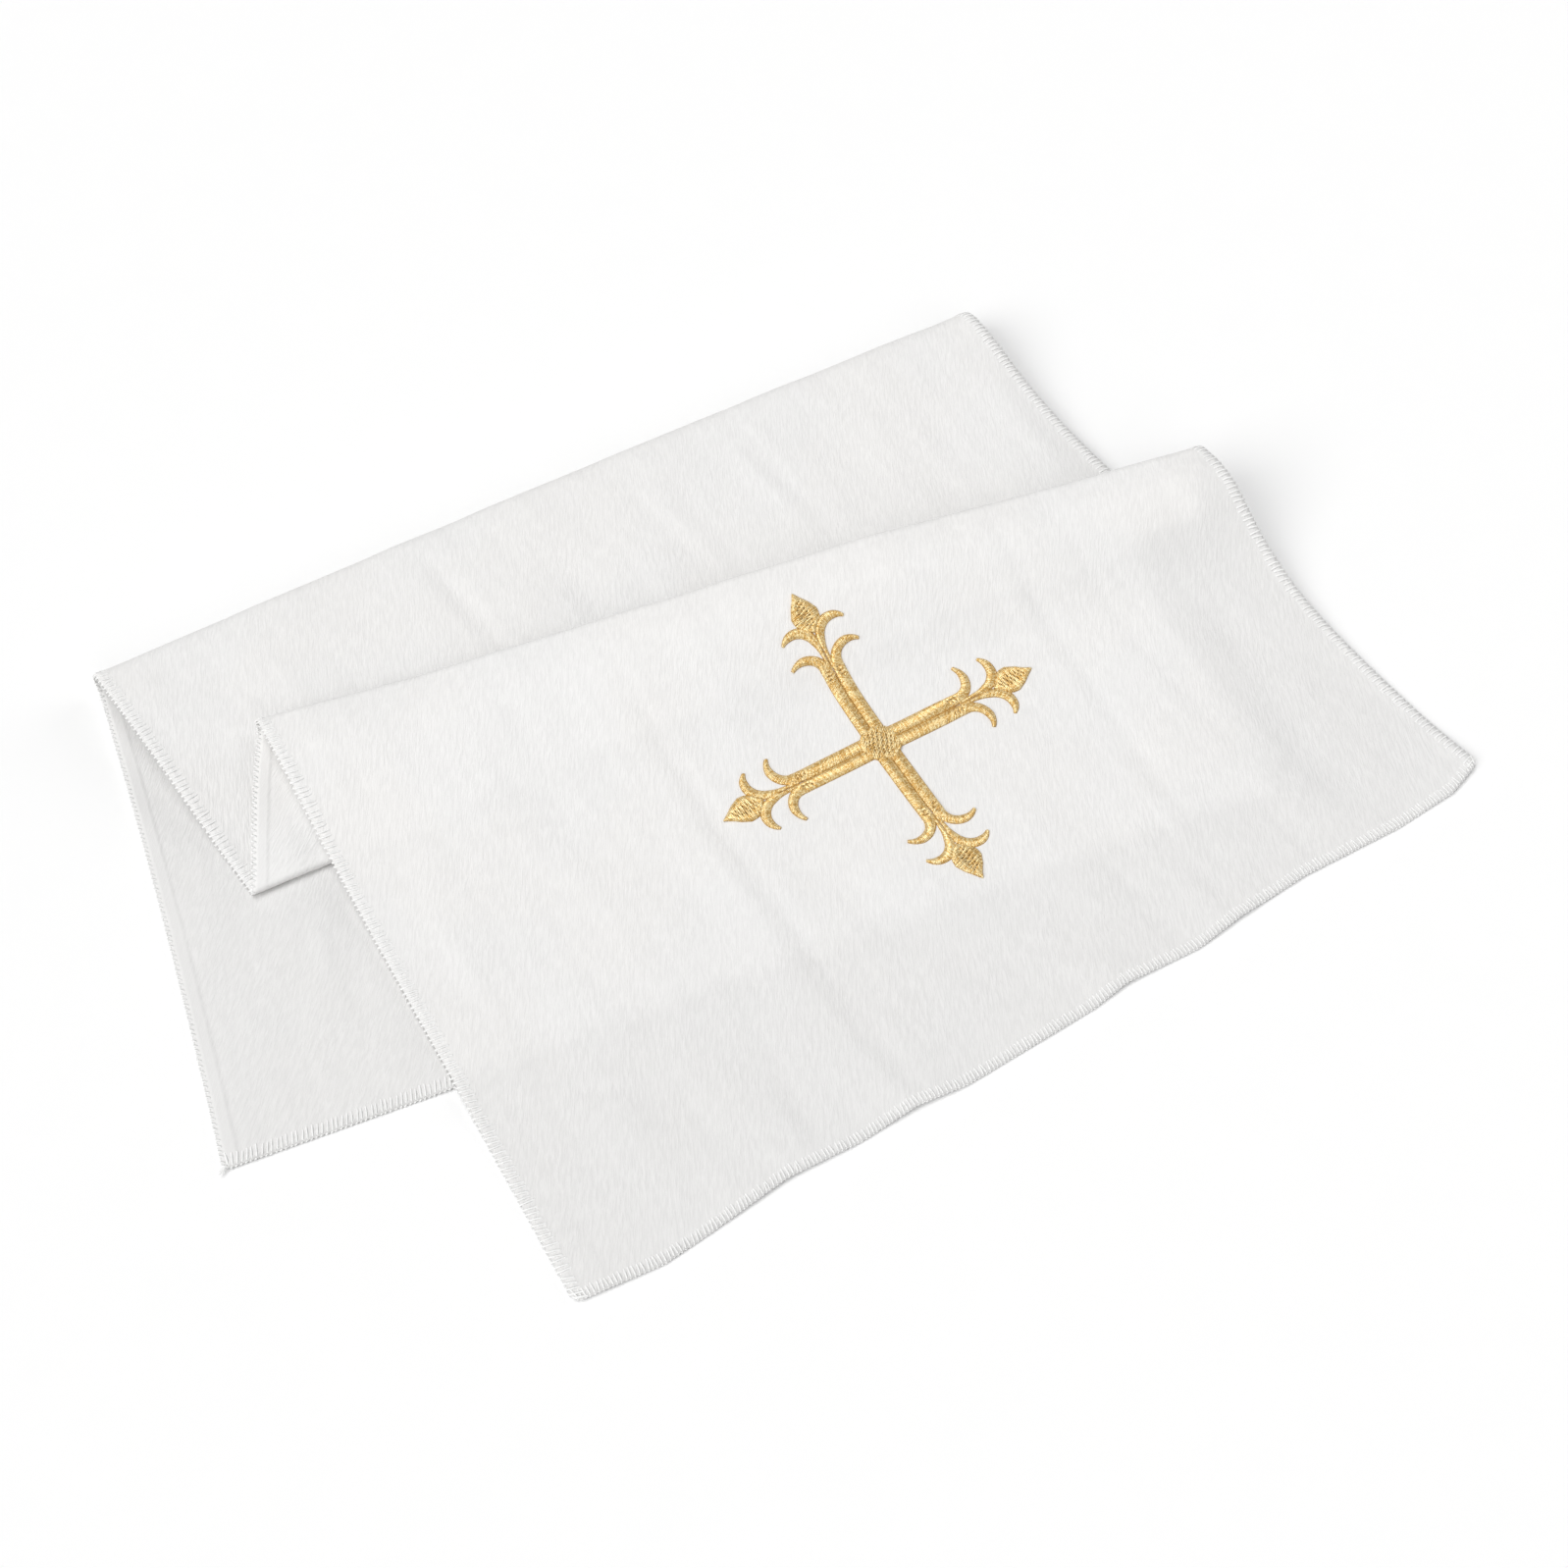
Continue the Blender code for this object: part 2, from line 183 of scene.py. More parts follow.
# Creases pressed into each panel: start and end are shares across and along it, and a height below 0 is a
# trough.
Crease = namedtuple("Crease", "start end half_width height")
CREASES = {
    "front": (
        Crease((0.3, 0.1), (0.33, 0.97), 9.0, 0.4),
        Crease((0.335, 0.02), (0.345, 0.99), 2.6, -0.35),
        Crease((0.315, 0.1), (0.325, 0.97), 3.0, 0.2),
        Crease((0.345, 0.8), (0.35, 0.99), 3.4, -0.4),
        Crease((0.75, 0.02), (0.75, 0.36), 2.8, -0.35),
        Crease((0.755, 0.3), (0.715, 0.99), 2.8, -0.35),
        Crease((0.735, 0.1), (0.73, 0.55), 3.0, 0.25),
        Crease((0.815, 0.12), (0.82, 0.72), 2.6, -0.3),
        Crease((0.79, 0.12), (0.8, 0.8), 7.0, 0.3),
        Crease((0.25, 0.84), (0.25, 0.99), 3.0, -0.45),
        Crease((0.64, 0.8), (0.635, 0.99), 3.0, -0.45),
        Crease((0.7, 0.86), (0.705, 0.99), 2.4, -0.3),
        Crease((0.06, 0.34), (0.065, 0.6), 2.8, 0.35),
        Crease((0.96, 0.62), (0.88, 0.73), 2.0, -0.4),
        Crease((0.885, 0.72), (0.79, 0.89), 2.0, -0.4),
        Crease((0.15, 0.05), (0.2, 0.5), 6.0, 0.3),
    ),
    "rear": (
        Crease((0.38, 0.15), (0.5, 0.6), 8.0, -0.4),
        Crease((0.66, 0.1), (0.76, 0.7), 8.0, 0.4),
        Crease((0.335, 0.02), (0.345, 0.56), 2.4, -0.45),
        Crease((0.315, 0.04), (0.325, 0.56), 2.8, 0.25),
        Crease((0.46, 0.2), (0.44, 0.6), 3.6, -0.3),
        Crease((0.51, 0.28), (0.5, 0.6), 2.2, -0.25),
        Crease((0.57, 0.12), (0.59, 0.55), 2.6, 0.3),
        Crease((0.553, 0.12), (0.573, 0.5), 2.4, -0.25),
        Crease((0.69, 0.02), (0.712, 0.55), 2.4, -0.3),
        Crease((0.672, 0.05), (0.692, 0.5), 2.6, 0.25),
        Crease((0.735, 0.25), (0.735, 0.52), 2.4, 0.2),
        Crease((0.83, 0.05), (0.8, 0.55), 4.0, 0.25),
        Crease((0.09, 0.4), (0.04, 0.62), 2.2, 0.35),
        Crease((0.13, 0.42), (0.09, 0.66), 2.2, -0.3),
    ),
    "lying": (
        Crease((0.1, 0.18), (0.15, 0.44), 3.0, 0.35),
        Crease((0.135, 0.18), (0.185, 0.44), 3.0, -0.35),
    ),
}

# Faint unevenness over the whole cloth: the length of each wave across and along, its shift and its height.
Wave = namedtuple("Wave", "across along shift height")
WAVES = (
    Wave(47.0, 83.0, 0.4, 0.10),
    Wave(-31.0, 58.0, 1.9, 0.07),
    Wave(23.0, -39.0, 3.1, 0.05),
    Wave(17.0, 26.0, 5.2, 0.03),
)

# The embroidered cross, in millimetres about its middle. Its crossbar and upright aren't quite square to
# each other, as the soft cotton is drawn a little askew.
CROSS_CENTRE = (36.2, -20.8)
CROSSBAR_TURN = -2.9
UPRIGHT_TURN = 89.3
CROSS_REACH = 52.0

# Its satin stitches. Each dips into the cloth at its ends and arches up between its shoulders, which are at
# a share of its length from its middle. A short one lies lower: its share of the full height grows with its
# length. A wide stroke is cut into several stitches, at places staggered from row to row.
STITCH_SPACING = 0.45
STITCH_RADIUS = 0.26
STITCH_ARCH = 0.75
STITCH_DIP = 0.12
STITCH_SHOULDER = 0.42
STITCH_STEPS = 7
STITCH_SWING = 0.05
SHORTEST_STITCH_SHARE = 0.35
LENGTH_FOR_FULL_SHARE = 3.5
LONGEST_STITCH = 4.2
CUT_STAGGER = 0.3

# The bed of thread under the stitches, and how far it reaches past them.
# Its deep colour is painted shade, seen in the grooves between the columns of stitches.
UNDERLAY_THICKNESS = 0.25
UNDERLAY_REACH = 0.1

# One arm of the cross, pointing along +Y: strokes of satin stitch that rise along a stem and curl outwards
# on an arc, and a pointed tip. widths are at even shares of a stroke's length, and slant is how far a
# stitch's outer end is set onward.
Stroke = namedtuple("Stroke", "stem centre radius angles widths slant lift")
STROKES = (
    Stroke(
        stem=((0.45, 27.0), (0.8, 35.0)),
        centre=(6.2, 35.8),
        radius=5.1,
        angles=(168, 40),
        widths=(0.9, 0.9, 1.2, 2.3, 3.0, 2.9, 2.3, 0.7),
        slant=0.6,
        lift=0.0,
    ),
    Stroke(
        stem=((1.85, 4.4), (1.85, 25.0)),
        centre=(7.4, 27.1),
        radius=5.5,
        angles=(180, 48),
        widths=(3.5, 3.5, 3.5, 3.5, 3.5, 3.4, 2.8, 2.4, 0.8),
        slant=0.6,
        lift=0.1,
    ),
)
ARC_STEPS = 12
RIBBON_STEPS = 60
Station = namedtuple("Station", "along half_width")
TIP = (
    Station(38.6, 0.0),
    Station(40.2, 2.2),
    Station(42.2, 3.9),
    Station(44.6, 4.2),
    Station(47.3, 2.9),
    Station(49.6, 1.2),
    Station(51.5, 0.0),
)
TIP_SLANT = 1.0
TIP_LIFT = 0.15

# The round boss in the middle: its rails are two arcs from one angle, in degrees.
ROSETTE_RADIUS = 5.7
ROSETTE_START = 135
ROSETTE_ENDS = (-45, 315)
ROSETTE_STEPS = 30
ROSETTE_LIFT = 0.25

# The overlocking: loops that reach from the needle line on the face with the cross, round the edge, to the
# other face. lean is how far a loop is set along the edge, and swing its random turn, in radians.
Overlock = namedtuple("Overlock", "spacing depth under_depth lean radius swing")
SIDE_OVERLOCK = Overlock(1.55, 3.1, 0.6, 0.6, 0.31, 0.12)
HEM_OVERLOCK = Overlock(1.2, 2.8, 2.2, 0.35, 0.23, 0.14)
FIRST_HEM_OVERLOCK = Overlock(1.3, 1.4, 3.5, 0.8, 0.23, 0.06)
LOOP_ROUND_EDGE = 0.9
LOOP_RISE = 2.6
LOOP_END_RISE = 0.8
LOOP_SEAT = 0.7
LOOP_FLATNESS = 0.45
LOOP_UNEVENNESS = 0.1
LOOP_STEPS = 9

# The loose threads at one corner: the way each points, in degrees, and its length.
TAIL_THREADS = ((212.0, 3.2), (222.0, 2.6), (203.0, 2.4))
TAIL_PLACE = (0.6, 0.6)
TAIL_RISE = 0.4
TAIL_FLATNESS = 0.3

# How a thread is made: the sides of its tube, and how much and how suddenly it narrows at its ends.
THREAD_SIDES = 5
END_NARROWING = 0.5
NARROWING_POWER = 6
SWING_SEED = 3
TONE_SEED = 11

# The weave: streaks and fine threads that run at a slant along the cloth, with their sizes across and along
# it, and the part of each noise that shows. The streaks are stronger in some patches than in others.
STREAK_ANGLE = math.radians(33)
STREAK_SIZE = (1.0, 4.8)
THREAD_SIZE = (0.45, 3.0)
WEAVE_RANGE = (0.36, 0.64)
THREAD_SHARE = 0.4
PATCH_SIZE = 14.0
LEAST_STREAKS = 0.1
LENGTHWISE_SIZE = (6.0, 80.0)
WARMTH_SIZE = 45.0
WARMTH_RANGE = (0.38, 0.62)
FLAT_MAP = "flat_place"

# On the wrong side, a smooth band runs along each side edge, with a faint line at its inner side.
# The faint line is a shallow groove, with painted shade along it.
SMOOTH_BAND = (3.7, 4.9)
BAND_LINE_REACH = 1.2
BAND_LINE_DEPTH = 0.6
BAND_SMOOTHNESS = 0.7
WRONG_SIDE_FROM = 0.1

# How much each of these lightens or darkens the cotton, with painted shade deepest on a single layer.
# Painted shade on a single layer over the floor stands in for light passing through the thin cloth.
# The band line's share is painted shade in its groove.
# The crepe's share is painted shade in the troughs and painted light on the crests of the weave's relief.
ToneAndShade = namedtuple("ToneAndShade", "alone crepe lengthwise band band_line")
COTTON_TONE_AND_SHADE = ToneAndShade(-0.075, 0.062, 0.06, 0.015, -0.018)
# Painted single-layer shade fades out by this many layers below, and weakens the warm tint by this share.
MANY_LAYERS = 1.6
LESS_WARM_ALONE = 0.6
COTTON_WARM = (0.848, 0.838, 0.825, 1.0)
COTTON_COOL = (0.844, 0.838, 0.829, 1.0)

# How strongly a bump shows, and how high it stands.
Relief = namedtuple("Relief", "strength height")
COTTON_RELIEF = Relief(0.3, 0.3)
TWIST_RELIEF = Relief(0.4, 0.06)

# The threads: two colours, the usual tone between them, and how much stitch and painted twist glint change
# it.
WHITE_DARK = (0.86, 0.86, 0.85, 1.0)
WHITE_LIGHT = (0.97, 0.97, 0.96, 1.0)
# The deepest gold is painted shade, for the bed seen in the grooves between the columns.
GOLD_PAINTED_SHADE = (0.36, 0.19, 0.04, 1.0)
GOLD_DARK = (0.66, 0.40, 0.11, 1.0)
GOLD_LIGHT = (1.0, 0.84, 0.48, 1.0)
Thread = namedtuple("Thread", "name dark light level stitch_change twist_change roughness metallic")
WHITE_THREAD = Thread("white_thread", WHITE_DARK, WHITE_LIGHT, 0.9, 0.4, 1.0, 0.6, 0.0)
GOLD_THREAD = Thread("gold_thread", GOLD_DARK, GOLD_LIGHT, 0.9, 0.8, 3.6, 0.3, 0.5)
GOLD_BED = Thread("gold_bed_painted_shade", GOLD_PAINTED_SHADE, GOLD_DARK, 0.5, 0.0, 1.5, 0.5, 0.0)
TWIST_SCALE = 2300.0
# Painted shade where a stitch dives into the cloth: where it starts, out from the middle, and its depth.
PAINTED_SHADE_FROM = 0.7
END_PAINTED_SHADE = 0.45

# The floor and the camera.
FLOOR_REACH = 20000.0
FLOOR_GRAIN = 60.0
FLOOR_DARK = (0.95, 0.95, 0.948, 1.0)
FLOOR_LIGHT = (0.96, 0.96, 0.958, 1.0)
CAMERA_PLACE = (-0.1782, -0.30338, 0.520)
CAMERA_DOWN = 56.6
CAMERA_TURN = -32.706
LENS_LENGTH = 50.0
FILM_WIDTH = 36.0

# Broad soft lights: the way towards each one and its strength.
Light = namedtuple("Light", "name towards strength")
LIGHTS = (
    Light("left", (-1.0, -0.1, 0.8), 1.54),
    Light("front", (-0.25, -1.0, 0.7), 0.47),
    Light("rear", (-0.15, 0.42, 1.3), 1.28),
    Light("right", (1.0, -0.15, 0.5), 0.5),
)
LIGHT_SPREAD = math.radians(40)
ROOM_LIGHT = 0.2

Side = namedtuple("Side", "points panels shares ways")


def smooth_step(value, low, high):
    """0 up to low, 1 from high, and an even rise between them."""
    share = np.clip((value - low) / (high - low), 0.0, 1.0)
    return share * share * (3.0 - 2.0 * share)


def unit(vector):
    return vector / norm(vector)


def lengths_along(points):
    """The distance of each point from the first one, along the line through them."""
    steps = norm(np.diff(points, axis=0), axis=1)
    return np.concatenate([[0.0], np.cumsum(steps)])


def arch(share):
    """0 at both ends of a line and 1 at its middle."""
    return 4 * share * (1 - share)


def panel_heights(index, side):
    """The (way, height) rows of one panel on one side."""
    return [(row.way, getattr(row, side)) for row in HEIGHTS if row.panel == PANELS[index].name]


def turn_radius(index, side):
    """Half the height between the panels that meet at a fold, and 0 at an end of the cloth."""
    if index in (0, len(FOLDS) - 1):
        return 0.0
    arriving = panel_heights(index - 1, side)[-1][1]
    leaving = panel_heights(index, side)[0][1]
    return (leaving - arriving) / 2


def fold_point(index, side):
    return np.array(getattr(FOLDS[index], side))


def curve_through(ways, heights, at):
    """A smooth curve through the heights, level at both ends, read at each of the given ways."""
    if len(ways) == 1:
        return np.full(len(at), heights[0])
    slopes = np.gradient(heights, ways)
    slopes[0] = slopes[-1] = 0.0
    at = np.minimum(at, ways[-1])
    after = np.clip(np.searchsorted(ways, at), 1, len(ways) - 1)
    before = after - 1
    gap = ways[after] - ways[before]
    t = (at - ways[before]) / gap
    return (
        heights[before] * (1 + 2 * t) * (1 - t) ** 2
        + slopes[before] * gap * t * (1 - t) ** 2
        + heights[after] * t * t * (3 - 2 * t)
        + slopes[after] * gap * t * t * (t - 1)
    )


def panel_steps(index):
    """How far along a panel its rows stand, as shares, the same for both sides."""
    lengths = []
    for side in ("left", "right"):
        span = norm(fold_point(index + 1, side) - fold_point(index, side))
        lengths.append(span - turn_radius(index, side) - turn_radius(index + 1, side))
    return np.linspace(0.0, 1.0, math.ceil(max(lengths) / CELL_ALONG) + 1)


def side_rows(side):
    """The middle of the sheet along one side edge, from the lowest layer's front hem to the top one's."""
    rows = []
    for index, panel in enumerate(PANELS):
        start, end = fold_point(index, side), fold_point(index + 1, side)
        forward = unit(end - start)
        before, after = turn_radius(index, side), turn_radius(index + 1, side)
        length = norm(end - start) - before - after
        marks, heights = np.array(panel_heights(index, side), float).T
        marks = np.minimum(marks, length)
        drawn_in = np.array((panel.left_in if side == "left" else -panel.right_in, 0.0))
        at = panel_steps(index)
        for share, height in zip(at, curve_through(marks, heights, at * length)):
            plan = start + forward * (before + share * length) + drawn_in * arch(share)
            rows.append((*plan, height, index, share, share * length))
        if index + 2 < len(FOLDS):
            onward = unit(fold_point(index + 2, side) - end)
            middle = rows[-1][2] + after
            for step in range(1, STEPS_AT_TURN):
                angle = math.pi * (step / STEPS_AT_TURN - 0.5)
                inward = after * (1.0 - math.cos(angle))
                plan = end - forward * inward if angle < 0 else end + onward * inward
                height = middle + after * math.sin(angle)
                rows.append((*plan, height, index + TURN_AFTER, step / STEPS_AT_TURN, 0.0))
    x, y, z, panels, shares, ways = np.array(rows).T
    return Side(np.stack([x, y, z], axis=1), panels, shares, ways)


def bows(side):
    """For each row, how far its middle stands to the rear."""
    found = []
    for panel, share in zip(side.panels, side.shares):
        share = share if panel == int(panel) else 1.0
        found.append(FOLDS[int(panel)].bow * (1 - share) + FOLDS[int(panel) + 1].bow * share)
    return np.array(found)


def listed(rows, field, across):
    """One column of a table of rows across the cloth, read at a share across."""
    return np.interp(across, [row.across for row in rows], [getattr(row, field) for row in rows])


def covered(x, y):
    """1 over the lowest layer and 0 past its front hem and its right edge, with a soft step between."""
    hem_left, hem_right = fold_point(0, "left"), fold_point(0, "right")
    rear_right = fold_point(1, "right")
    along, up = unit(hem_right - hem_left), unit(rear_right - hem_right)
    behind_hem = -along[1] * (x - hem_left[0]) + along[0] * (y - hem_left[1])
    inside_edge = up[1] * (hem_right[0] - x) - up[0] * (hem_right[1] - y)
    return smooth_step(behind_hem, *COVERED_EDGE_BLEND) * smooth_step(inside_edge, *COVERED_EDGE_BLEND)


def ridge_rise(across, side):
    """How much higher each row stands at this place across, because of the ridge's uneven line."""
    at_turn = (side.panels == RISER + TURN_AFTER).astype(float)
    riser = np.where(side.panels == RISER, side.shares, 0.0)
    front = np.where(side.panels == FRONT, 1.0 - smooth_step(side.ways, 0.0, RIDGE_FADE), 0.0)
    return listed(RIDGE_RISES, "rise", across) * (at_turn + riser + front)


def crease_rise(across, side, width, lengths):
    """The height of the pressed creases at this place across, for each row."""
    rise = np.zeros(len(side.panels))
    rows = [(PANEL_NAMES.index(panel), crease) for panel, creases in CREASES.items() for crease in creases]
    for index, crease in rows:
        scale = np.array([width, lengths[index]])
        start, end = np.array(crease.start) * scale, np.array(crease.end) * scale
        line = end - start
        place = np.stack([np.full(len(rise), across), side.shares], axis=1) * scale
        share = np.clip((place - start) @ line / (line @ line), 0.0, 1.0)
        away = norm(place - start - share[:, None] * line, axis=1)
        ends = np.sqrt(np.abs(np.sin(np.pi * share)))
        rise += (side.panels == index) * crease.height * ends * np.exp(-((away / crease.half_width) ** 2))
    return rise


def wave_rise(x, y):
    """The faint unevenness at flat places on the cloth."""
    rise = 0.0
    for wave in WAVES:
        rise += wave.height * np.sin(2 * math.pi * (x / wave.across + y / wave.along) + wave.shift)
    return rise


def sheet_column(across, left, right):
    """The points of the sheet at one share across."""
    width = norm(fold_point(-1, "right") - fold_point(-1, "left"))
    folds = [fold_point(index, "left") for index in range(len(FOLDS))]
    lengths = [norm(after - before) for before, after in zip(folds, folds[1:])]
    points = left.points * (1 - across) + right.points * across
    on_front = left.panels == FRONT
    forward = listed(FRONT_BULGES, "forward", across) * on_front * left.shares**BULGE_POWER
    points[:, 1] += bows(left) * arch(across) - forward
    lift = FLOOR_CLEARANCE * covered(points[:, 0], points[:, 1])
    near_floor = 1.0 - smooth_step(points[:, 2], *FALL_CLEAR_OF_FLOOR)
    points[:, 2] += on_front * lift * near_floor
    points[:, 2] += ridge_rise(across, left)
    points[:, 2] += crease_rise(across, left, width, lengths)
    raised = on_front * smooth_step(left.shares, 1 - LIFT_REACH, 1.0)
    points[:, 2] += raised * listed(FRONT_BULGES, "lift", across)
    return points


class FoldedSheet:
    """The middle of the folded cloth as a grid of points, and where each flat place on it lies in space."""

    def __init__(self):
        left, right = side_rows("left"), side_rows("right")
        self.across = np.linspace(0.0, 1.0, CELLS_ACROSS + 1)
        lengths = [lengths_along(side.points) for side in (left, right)]
        self.side_lengths = [ways * CLOTH_FLAT[1] / ways[-1] for ways in lengths]
        self.x = np.repeat(self.across[:, None] * CLOTH_FLAT[0], len(left.panels), axis=1)
        self.y = np.array([self.length_at(across) for across in self.across])
        self.panels = left.panels
        self.points = np.array([sheet_column(across, left, right) for across in self.across])
        self.points[:, :, 2] = np.maximum(self.points[:, :, 2] + wave_rise(self.x, self.y), LOWEST_MIDDLE)
        lift = 1.0 - smooth_step(self.from_edge(), 0.0, EDGE_LIFT_REACH)
        self.points[:, :, 2] += EDGE_LIFT * lift
        self.round_corners()
        step_across, step_along = np.gradient(self.points, axis=0), np.gradient(self.points, axis=1)
        normals = np.cross(step_across, step_along)
        self.normals = normals / norm(normals, axis=2)[:, :, None]
        index = np.arange(self.x.size).reshape(self.x.shape)
        around = [index[:-1, :-1], index[1:, :-1], index[1:, 1:], index[:-1, 1:]]
        self.quads = np.stack(around, axis=-1).reshape(-1, 4).tolist()
        corners = [Vector(point) for point in self.points.reshape(-1, 3)]
        self.surface = BVHTree.FromPolygons(corners, self.quads)

    def length_at(self, across):
        """y of each row at a share across: each row is a straight line on the flat cloth."""
        left, right = self.side_lengths
        return left * (1 - across) + right * across

    def from_edge(self):
        """How far each point of the grid is from the nearest edge of the cloth."""
        ends = np.minimum(self.y, self.y[:, -1:] - self.y)
        return np.minimum(np.minimum(self.x, CLOTH_FLAT[0] - self.x), ends)

    def round_corners(self):
        """Draws the square corners of the cloth in to quarter rounds."""
        length = self.y[:, -1:]
        for x_away, x_sign in ((self.x, 1), (CLOTH_FLAT[0] - self.x, -1)):
            for y_away, y_sign in ((self.y, 1), (length - self.y, -1)):
                p, q = CORNER_RADIUS - x_away, CORNER_RADIUS - y_away
                near = (p > 0) & (q > 0)
                half_square = 2 * CORNER_RADIUS**2
                p_round = p * np.sqrt(1 - np.where(near, q * q, 0) / half_square)
                q_round = q * np.sqrt(1 - np.where(near, p * p, 0) / half_square)
                columns, rows = np.nonzero(near)
                corner = (0 if x_sign == 1 else -1, 0 if y_sign == 1 else -1)
                inward_x = unit(self.points[corner[0] + x_sign, corner[1]] - self.points[corner])
                inward_y = unit(self.points[corner[0], corner[1] + y_sign] - self.points[corner])
                self.points[columns, rows] += (p - p_round)[columns, rows, None] * inward_x
                self.points[columns, rows] += (q - q_round)[columns, rows, None] * inward_y

    def at(self, x, y, lift=0.0):
        """The point over a flat place, lift above the face with the cross, and that face's direction."""
        across = min(max(x / CLOTH_FLAT[0], 0.0), 1.0)
        row = np.interp(y, self.length_at(across), np.arange(len(self.panels)))
        i, j = min(int(across * CELLS_ACROSS), CELLS_ACROSS - 1), min(int(row), len(self.panels) - 2)
        s, t = across * CELLS_ACROSS - i, row - j
        point, normal = (
            (grid[i, j] * (1 - t) + grid[i, j + 1] * t) * (1 - s)
            + (grid[i + 1, j] * (1 - t) + grid[i + 1, j + 1] * t) * s
            for grid in (self.points, self.normals)
        )
        face = -unit(normal)
        return point + face * lift, face

    def over(self, place, lift=0.0):
        """The top layer's point at a place seen from above, lift over its middle, and where it faces."""
        found, normal, _, _ = self.surface.ray_cast(Vector((*place, ABOVE_EVERYTHING)), DOWN)
        face = np.array(normal if normal.z > 0 else -normal)
        return np.array(found) + face * lift, face

    def layers_below(self):
        """How many layers of cloth lie under each point, softened as light spreads between them."""
        columns, rows = self.x.shape
        count = np.zeros(columns * rows)
        for place, point in enumerate(self.points.reshape(-1, 3)):
            start = Vector(point) - Vector((0, 0, SHEET_THICKNESS))
            while True:
                found = self.surface.ray_cast(start, DOWN)[0]
                if found is None:
                    break
                count[place] += 1
                start = found - Vector((0, 0, SHEET_THICKNESS))
        count = count.reshape(columns, rows)
        for _ in range(SOFTENING_ROUNDS):
            padded = np.pad(count, 1, mode="edge")
            count = sum(padded[i : i + columns, j : j + rows] for i in range(3) for j in range(3)) / 9
        return count


def arithmetic(operation, swapped=False):
    """An operator of Value that adds a Math node."""

    def operator(*values):
        return values[0].tree.math(operation, *(values[::-1] if swapped else values))

    return operator


class Value:
    """A socket of a node tree. Arithmetic on it adds Math nodes."""

    __add__, __radd__ = arithmetic("ADD"), arithmetic("ADD", swapped=True)
    __sub__, __rsub__ = arithmetic("SUBTRACT"), arithmetic("SUBTRACT", swapped=True)
    __mul__, __rmul__ = arithmetic("MULTIPLY"), arithmetic("MULTIPLY", swapped=True)
    __truediv__, __pow__, __abs__ = arithmetic("DIVIDE"), arithmetic("POWER"), arithmetic("ABSOLUTE")

    def __init__(self, tree, socket):
        self.tree = tree
        self.socket = socket

    def output(self, name):
        """Another output of the same node."""
        return Value(self.tree, self.socket.node.outputs[name])


class Tree:
    """A node tree of a material or a modifier."""

    def __init__(self, nodes_of):
        self.nodes_of = nodes_of

    def node(self, kind, settings=None, inputs=None):
        """Adds a node, sets its settings, then its inputs, and gives its first output in use."""
        node = self.nodes_of.nodes.new(kind)
        for name, value in (settings or {}).items():
            setattr(node, name, value)
        for key, value in (inputs or {}).items():
            in_use = [socket for socket in node.inputs if socket.enabled]
            socket = in_use[key] if isinstance(key, int) else next(s for s in in_use if s.name == key)
            if isinstance(value, Value):
                self.nodes_of.links.new(value.socket, socket)
            else:
                socket.default_value = value
        shown = [socket for socket in node.outputs if socket.enabled]
        return Value(self, shown[0]) if shown else None

    def math(self, operation, *values):
        return self.node("ShaderNodeMath", {"operation": operation}, dict(enumerate(values)))

    def smooth(self, value, low, high):
        """0 at low, 1 at high, and an even rise between them."""
        inputs = {"Value": value, "From Min": low, "From Max": high}
        return self.node("ShaderNodeMapRange", {"interpolation_type": "SMOOTHSTEP"}, inputs)

    def noise(self, place, scale, detail=2.0):
        return self.node("ShaderNodeTexNoise", None, {"Vector": place, "Scale": scale, "Detail": detail})

    def place(self, x, y):
        return self.node("ShaderNodeCombineXYZ", None, {0: x, 1: y})

    def kept(self, name):
        """A number that is kept on the mesh by name."""
        return self.node("ShaderNodeAttribute", {"attribute_name": name}).output("Fac")

    def blend(self, share, first, second):
        """A colour between two colours."""
        inputs = {"Factor": share, "A": first, "B": second}
        return self.node("ShaderNodeMix", {"data_type": "RGBA"}, inputs)

    def tint(self, colour, amount):
        """A colour made darker or lighter by a number."""
        inputs = {0: colour, "Scale": amount}
        return self.node("ShaderNodeVectorMath", {"operation": "SCALE"}, inputs)


class Finish(Tree):
    """A material with one Principled shader."""

    def __init__(self, name, **plain):
        self.material = bpy.data.materials.new(name)
        self.material.use_nodes = True
        super().__init__(self.material.node_tree)
        self.shader = self.nodes_of.nodes["Principled BSDF"]
        for socket, value in plain.items():
            self.shader.inputs[socket.replace("_", " ")].default_value = value

    def feed(self, socket, value):
        self.nodes_of.links.new(value.socket, self.shader.inputs[socket])

    def bump(self, height, relief):
        inputs = {"Height": height, "Strength": relief.strength, "Distance": relief.height * MM}
        self.feed("Normal", self.node("ShaderNodeBump", None, inputs))


